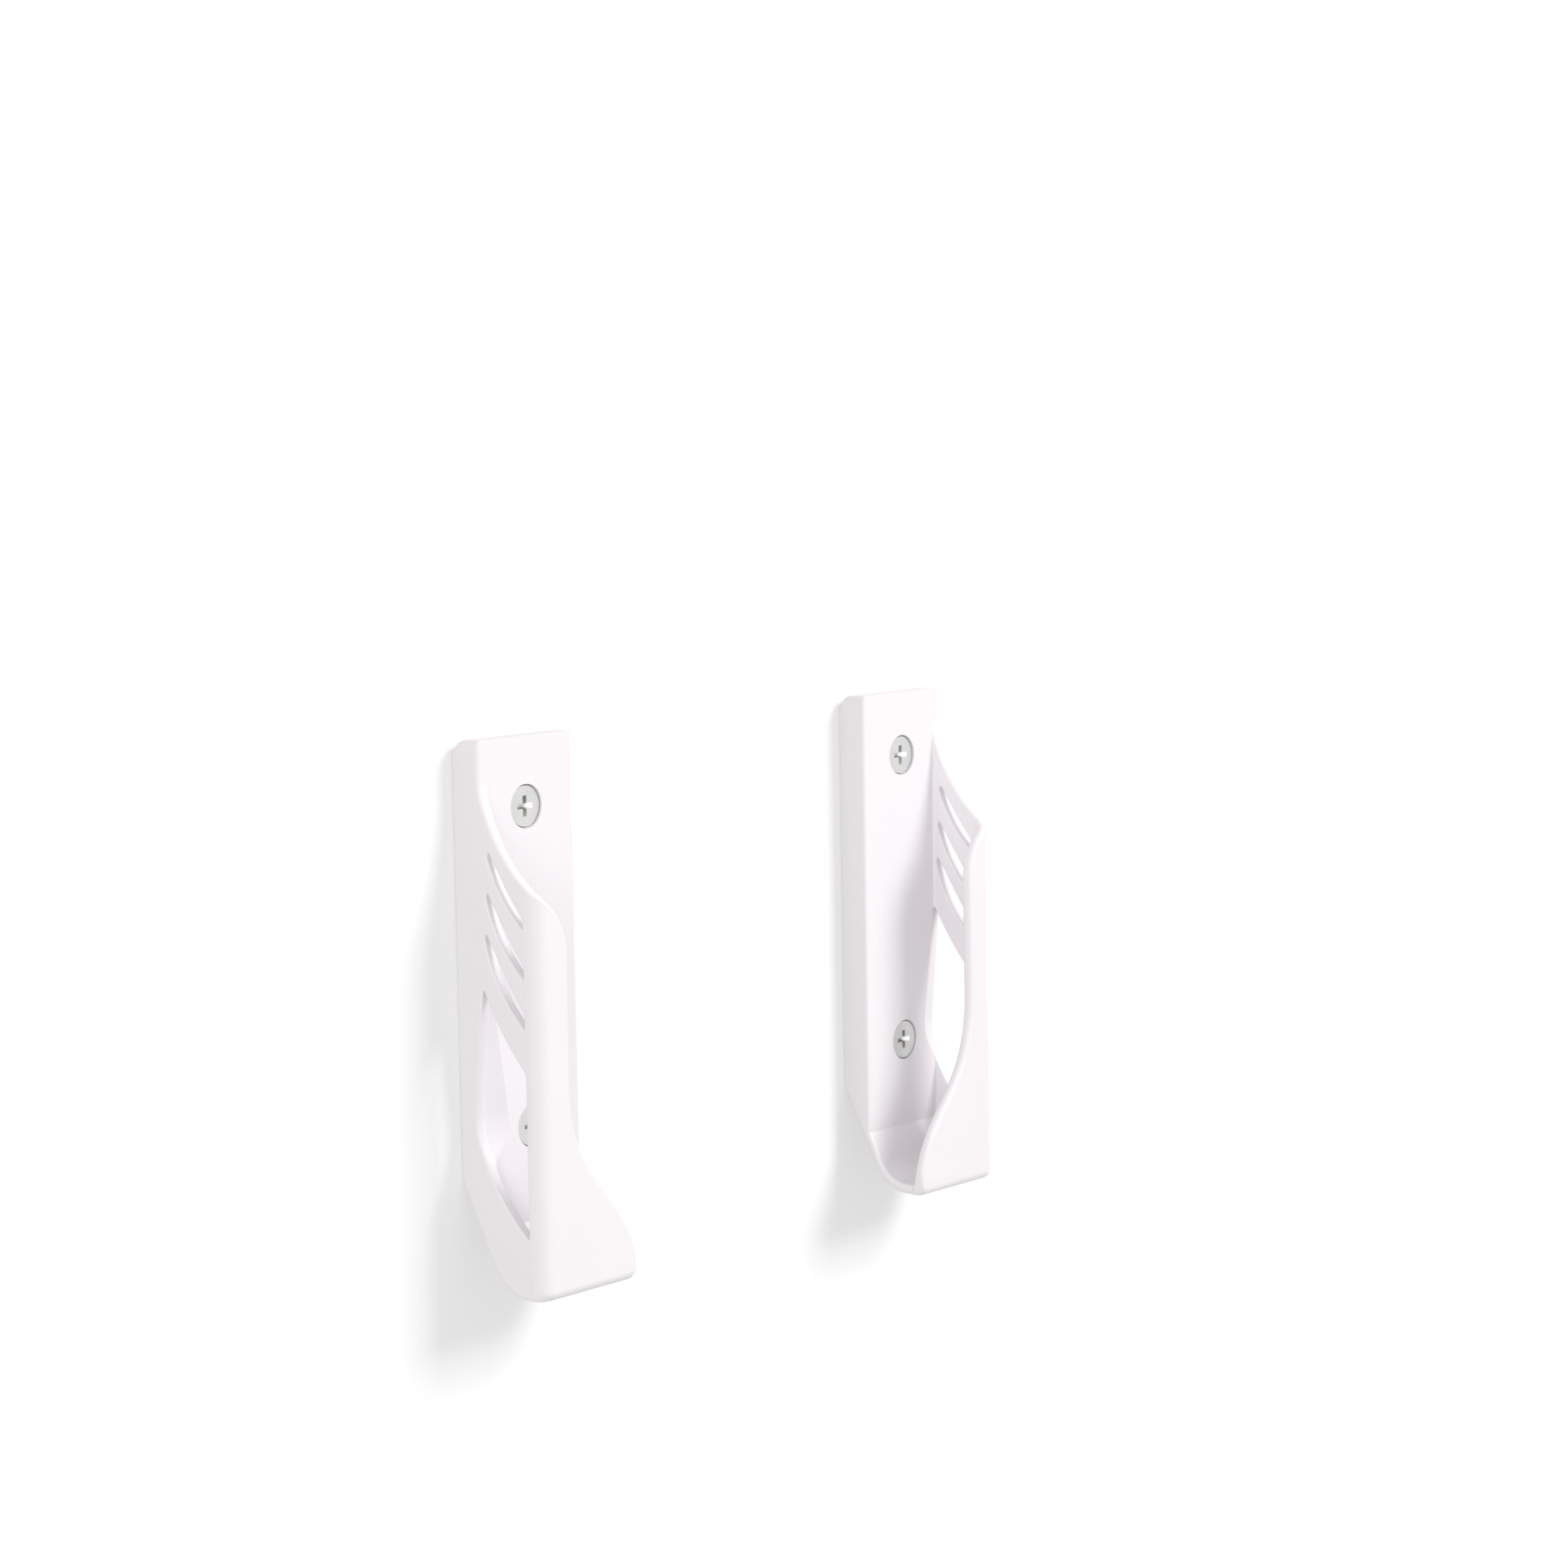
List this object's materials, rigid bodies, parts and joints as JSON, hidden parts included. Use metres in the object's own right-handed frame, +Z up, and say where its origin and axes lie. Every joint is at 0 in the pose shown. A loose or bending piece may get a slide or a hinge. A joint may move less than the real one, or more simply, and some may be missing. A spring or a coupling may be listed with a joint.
{
  "type": "tablet wall mount",
  "caption": "Mirrored pair of moulded corner brackets that hold a slim tablet upright against a wall, with slotted side walls, curved front lips, foam strips, screws and plugs.",
  "frame": {"origin": "on the wall's surface, midway between the two brackets, level with their lowest edge", "axes": "+X to the right, +Y into the wall, +Z up; the brackets stand out from the wall towards -Y"},
  "size_m": [0.126, 0.0471, 0.094],
  "materials": {
    "bracket_plastic": "satin moulded white, very fine grain, softly rounded edges",
    "foam": "closed-cell foam with a smooth adhesive face",
    "screw_steel": "bright zinc plate",
    "plug_nylon": "grey nylon, slightly waxy"
  },
  "bodies": {
    "root": {"left_bracket": "bracket_plastic", "right_bracket": "bracket_plastic", "left_adhesive_strip": "foam", "right_adhesive_strip": "foam", "screw_left_top": "screw_steel", "screw_left_bottom": "screw_steel", "screw_right_top": "screw_steel", "screw_right_bottom": "screw_steel", "wall_plug_left_top": "plug_nylon", "wall_plug_left_bottom": "plug_nylon", "wall_plug_right_top": "plug_nylon", "wall_plug_right_bottom": "plug_nylon"}
  },
  "joints": []
}
